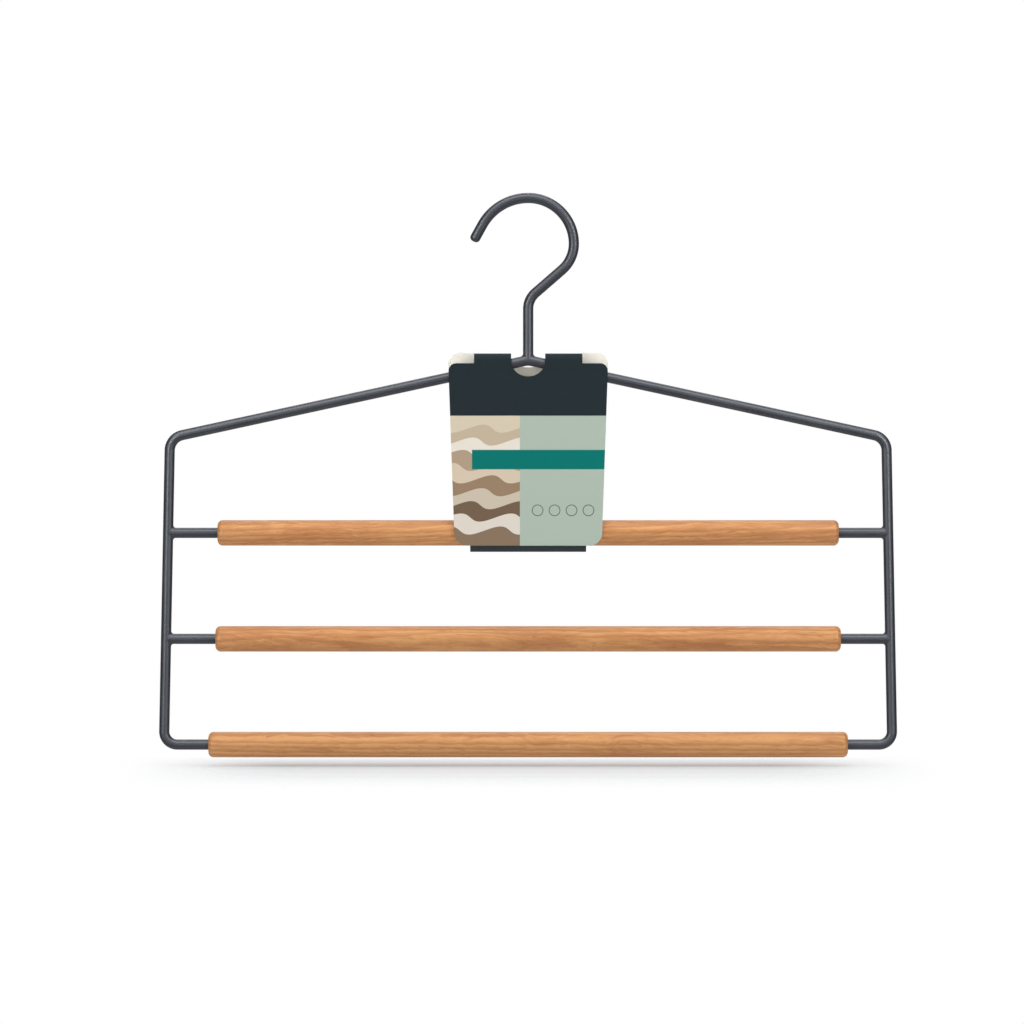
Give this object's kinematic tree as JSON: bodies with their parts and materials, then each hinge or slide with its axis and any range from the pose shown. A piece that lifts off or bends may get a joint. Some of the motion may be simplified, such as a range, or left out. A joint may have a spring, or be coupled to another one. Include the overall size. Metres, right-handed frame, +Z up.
{
  "type": "trouser hanger",
  "caption": "Tiered trouser hanger: coated wire frame with an open hook, round wooden bars that turn on wire stubs, and a folded card sleeve over the apex.",
  "frame": {"origin": "inside of the hook's crown, in the middle plane of the wire, where the hanger rests on its rail", "axes": "+Z up, +X along the bars to the right as the card's front is read, +Y to the back"},
  "size_m": [0.3852, 0.0159, 0.2943],
  "materials": {
    "wire_coat": "satin graphite powder coat",
    "bar_wood": "clear satin lacquer",
    "printed_card": "matt print on white board"
  },
  "bodies": {
    "frame": {"frame_wire": "wire_coat", "hook": "wire_coat", "stub_top_left": "wire_coat", "stub_top_right": "wire_coat", "stub_middle_left": "wire_coat", "stub_middle_right": "wire_coat", "hook_weld": "wire_coat", "stub_welds": "wire_coat"},
    "upper_bar": {"top_bar": "bar_wood"},
    "centre_bar": {"middle_bar": "bar_wood"},
    "lower_bar": {"bottom_bar": "bar_wood"},
    "card": {"display_card": "printed_card"}
  },
  "joints": [
    {"name": "top_bar_spin", "type": "hinge", "parent": "frame", "child": "upper_bar", "pos_m": [0, 0, -0.1715], "axis": [1, 0, 0], "continuous": true},
    {"name": "middle_bar_spin", "type": "hinge", "parent": "frame", "child": "centre_bar", "pos_m": [0, 0, -0.2269], "axis": [1, 0, 0], "continuous": true},
    {"name": "bottom_bar_spin", "type": "hinge", "parent": "frame", "child": "lower_bar", "pos_m": [0, 0, -0.2823], "axis": [1, 0, 0], "continuous": true},
    {"name": "card_shift", "type": "slide", "parent": "frame", "child": "card", "axis": [1, 0, 0], "range_m": [-0.0045, 0.0045]}
  ]
}
